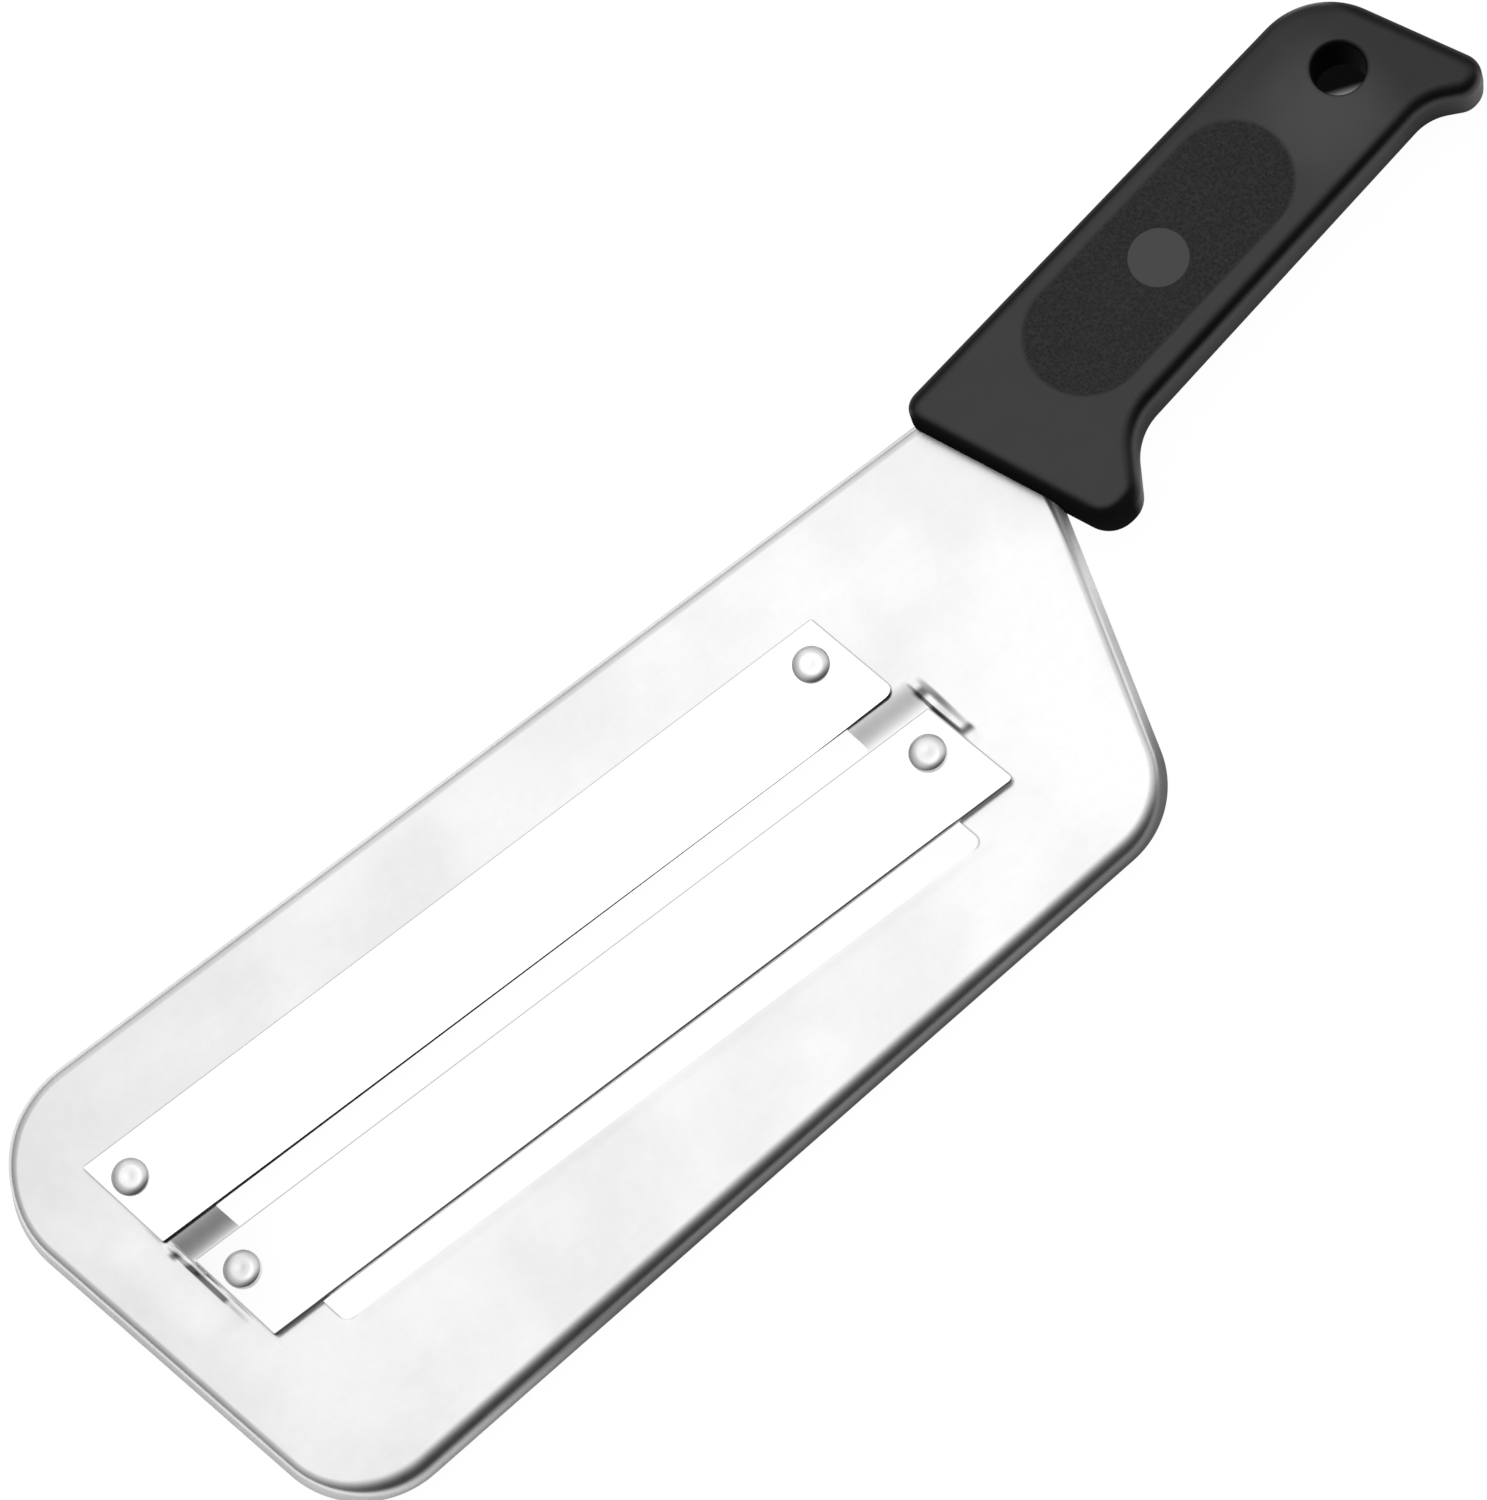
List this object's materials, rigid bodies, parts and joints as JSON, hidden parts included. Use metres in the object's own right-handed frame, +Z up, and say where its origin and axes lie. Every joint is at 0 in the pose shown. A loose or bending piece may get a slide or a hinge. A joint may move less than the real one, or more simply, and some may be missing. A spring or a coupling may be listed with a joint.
{
  "type": "cabbage shredder",
  "caption": "Hand-held cabbage shredder: pressed steel plate with a turned-down rim and slots, slanted riveted slicing blades and a black moulded handle with finger hooks and a hanging hole.",
  "frame": {"origin": "middle of the tool's bounding box, on the plane of the handle's flat underside", "axes": "+X along the cutting edges towards the handle, +Y towards the plate's straight back edge, +Z up out of the cutting face"},
  "size_m": [0.3096, 0.1104, 0.0114],
  "materials": {
    "plate_steel": "satin stainless sheet",
    "blade_steel": "polished stainless strip with a ground edge",
    "rivet_steel": "bright upset heads",
    "handle_plastic": "semi-matt black moulding with grained grip panels"
  },
  "bodies": {
    "root": {"body_plate": "plate_steel", "upper_blade": "blade_steel", "lower_blade": "blade_steel", "rivet_upper_tip": "rivet_steel", "rivet_upper_handle": "rivet_steel", "rivet_lower_tip": "rivet_steel", "rivet_lower_handle": "rivet_steel", "handle": "handle_plastic"}
  },
  "joints": []
}
